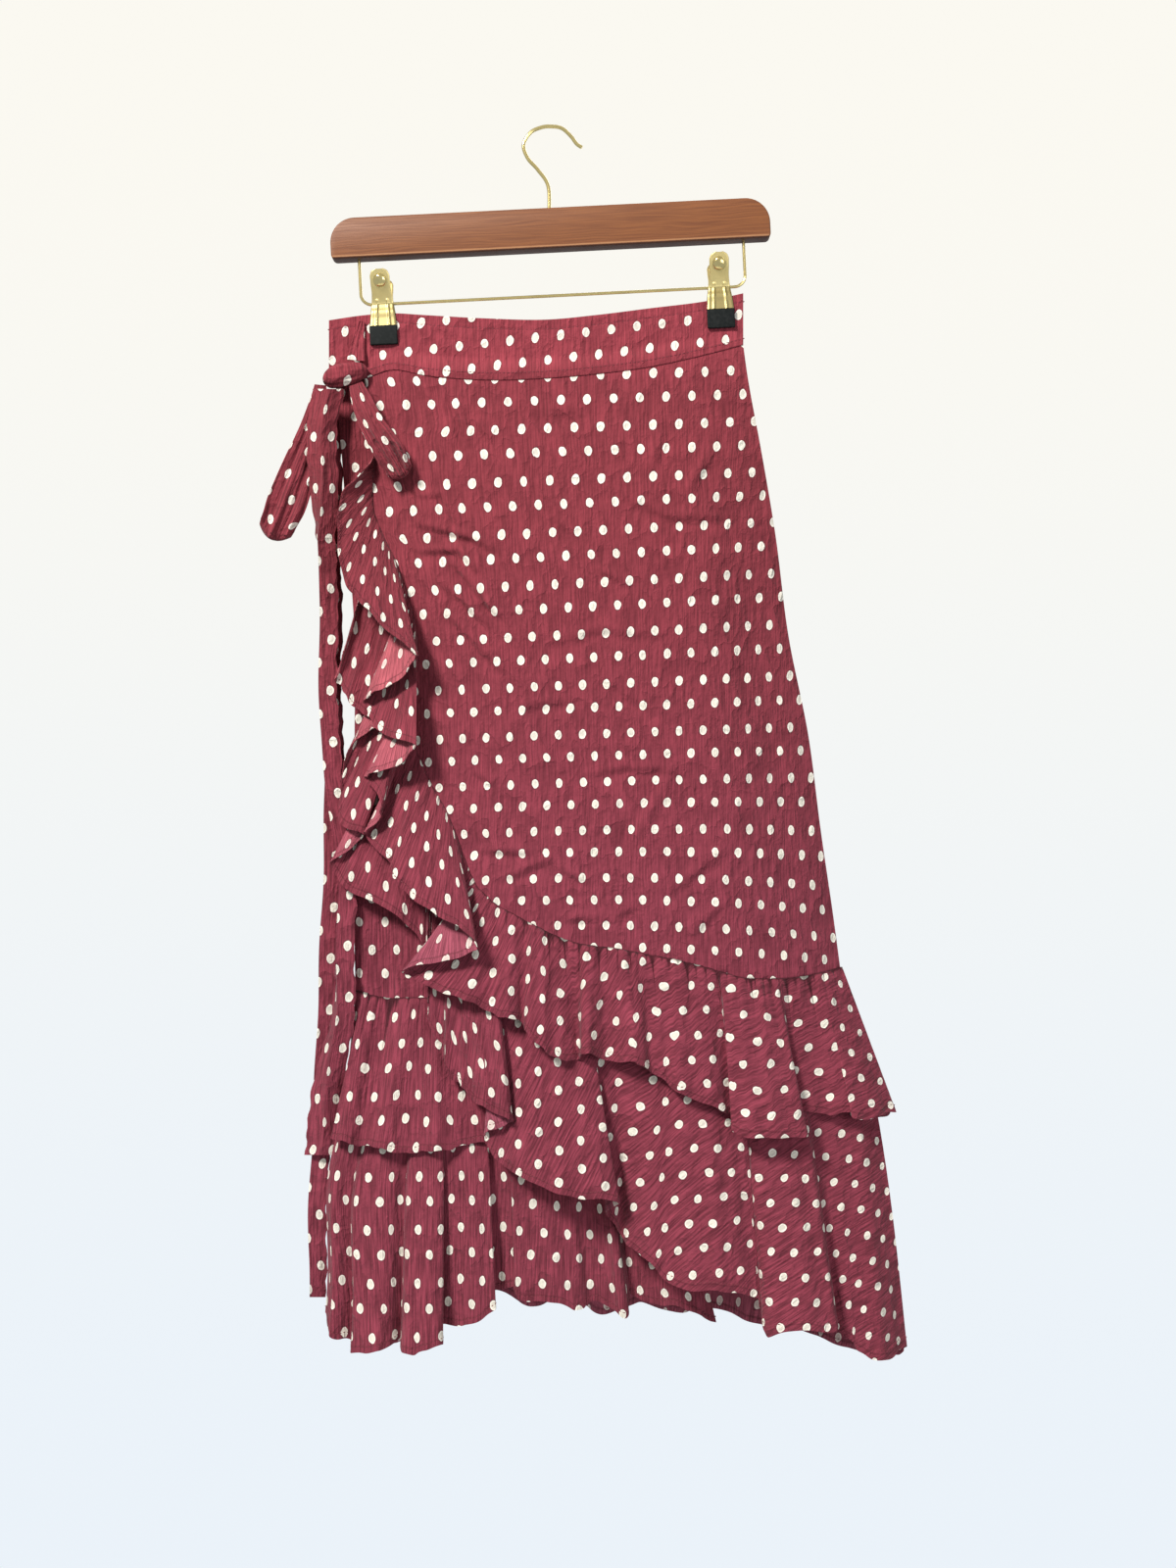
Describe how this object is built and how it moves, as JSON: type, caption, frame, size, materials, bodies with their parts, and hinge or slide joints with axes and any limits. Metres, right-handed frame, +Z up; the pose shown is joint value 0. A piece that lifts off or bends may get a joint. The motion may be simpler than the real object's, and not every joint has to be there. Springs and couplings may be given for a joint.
{
  "type": "wrap skirt",
  "caption": "Long polka-dot wrap skirt with two gathered flounces and a side tie, held by its waistband on a wooden clip hanger.",
  "frame": {"origin": "inside top of the hanger's hook, where a rail or peg carries it", "axes": "+Z up, +X to the right of someone facing the skirt's front, so the front faces -Y"},
  "size_m": [0.5323, 0.1127, 1.0095],
  "materials": {
    "cloth": "burgundy crinkled cloth with a cream dot print, matt with a faint sheen",
    "wood": "red-brown stain, satin",
    "brass": "pale brass plate, polished",
    "rubber": "black, matt"
  },
  "bodies": {
    "root": {"back_flounce_lower": "cloth", "back_flounce_upper": "cloth", "back_panel": "cloth", "clip_left_pad_back": "rubber", "clip_left_pad_front": "rubber", "clip_left_plate_back": "brass", "clip_left_plate_front": "brass", "clip_left_rivet_back": "brass", "clip_left_rivet_front": "brass", "clip_right_pad_back": "rubber", "clip_right_pad_front": "rubber", "clip_right_plate_back": "brass", "clip_right_plate_front": "brass", "clip_right_rivet_back": "brass", "clip_right_rivet_front": "brass", "hanger_bar": "wood", "hanger_hook": "brass", "hanger_rail": "brass", "overlap_flounce_lower": "cloth", "overlap_flounce_upper": "cloth", "overlap_panel": "cloth", "tie_knot": "cloth", "tie_loop_left": "cloth", "tie_loop_right": "cloth", "tie_strap": "cloth", "tie_tail_back": "cloth", "tie_tail_front": "cloth", "under_flounce_lower": "cloth", "under_flounce_upper": "cloth", "under_panel": "cloth", "waistband_back": "cloth", "waistband_front": "cloth", "waistband_under": "cloth"}
  },
  "joints": []
}
